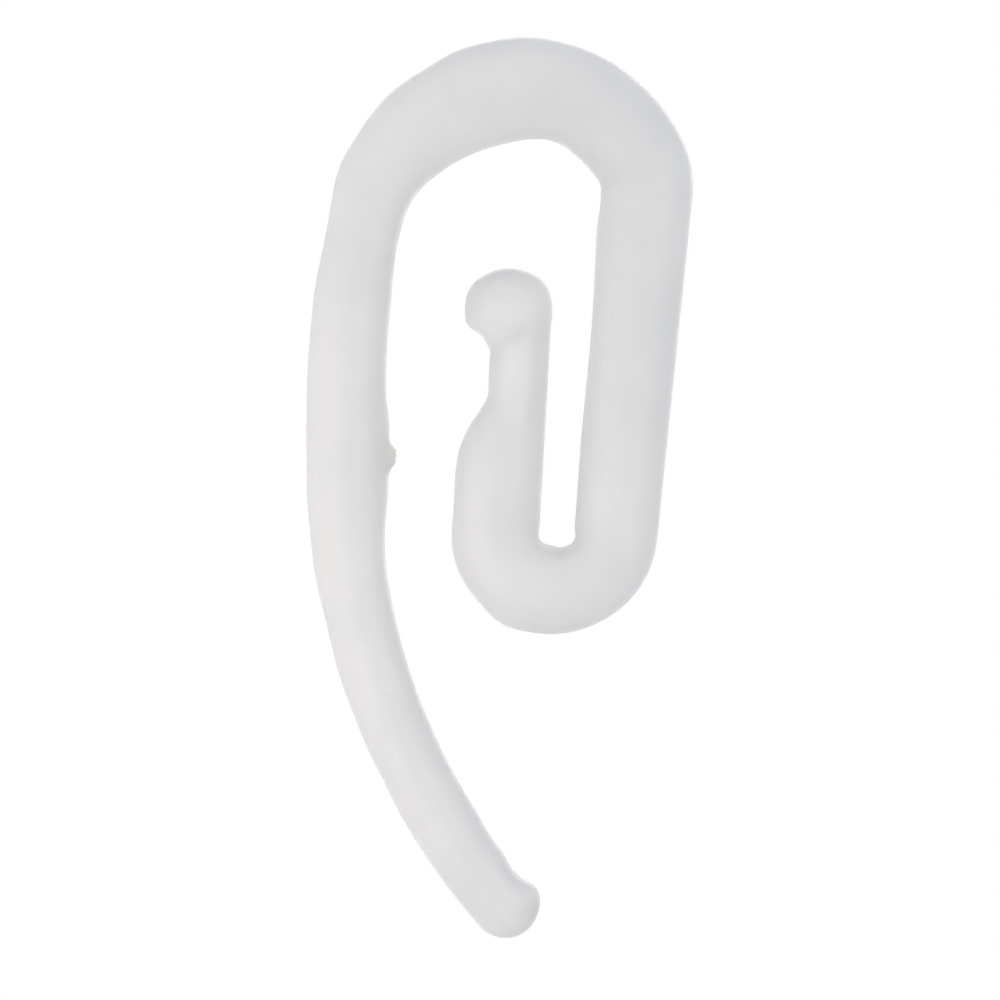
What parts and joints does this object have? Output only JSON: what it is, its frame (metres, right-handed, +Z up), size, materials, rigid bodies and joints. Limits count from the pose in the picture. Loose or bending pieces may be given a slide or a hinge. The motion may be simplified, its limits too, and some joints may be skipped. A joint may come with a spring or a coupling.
{
  "type": "curtain hook",
  "caption": "One-piece moulded nylon curtain hook: a round bar arched over and turned back into a springy knobbed prong beside its leg, with a long curved tail.",
  "frame": {"origin": "inside of the arch's crown, on the hook's mid-plane, where the arch hangs", "axes": "+Z up from the tail to the arch, +X from the stem to the leg, Y through the hook's thickness"},
  "size_m": [0.0128, 0.0034, 0.03],
  "materials": {
    "nylon": "milky white nylon, smooth and slightly waxy"
  },
  "bodies": {
    "root": {"hook": "nylon"}
  },
  "joints": []
}
